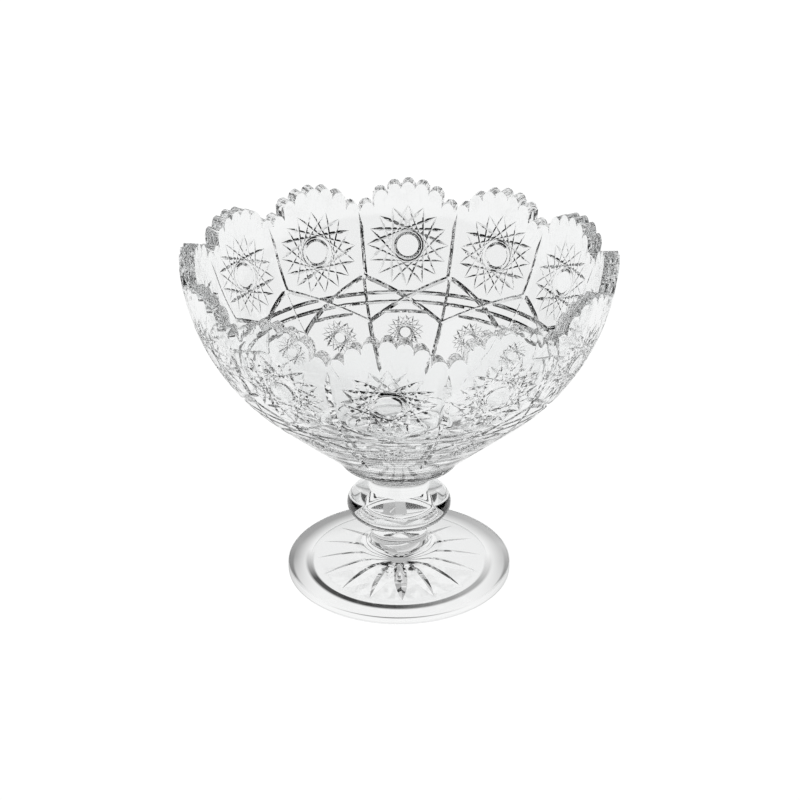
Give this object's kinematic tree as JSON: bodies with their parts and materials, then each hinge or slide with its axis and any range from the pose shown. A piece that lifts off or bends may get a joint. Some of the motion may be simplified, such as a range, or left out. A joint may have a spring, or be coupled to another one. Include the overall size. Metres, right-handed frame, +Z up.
{
  "type": "footed dessert cup",
  "caption": "Clear pressed-glass dessert cup: a ball-shaped bowl with a scalloped, toothed rim on a collar, a knopped stem and a round foot with a star cut under it",
  "frame": {"origin": "middle of the plane that the foot rests on", "axes": "+Z up along the cup's axis; one panel of the bowl faces -Y"},
  "size_m": [0.1198, 0.1198, 0.0995],
  "materials": {
    "clear_glass": "fire-polished, clear"
  },
  "bodies": {
    "root": {"foot": "clear_glass", "stem": "clear_glass", "collar": "clear_glass", "bowl": "clear_glass"}
  },
  "joints": []
}
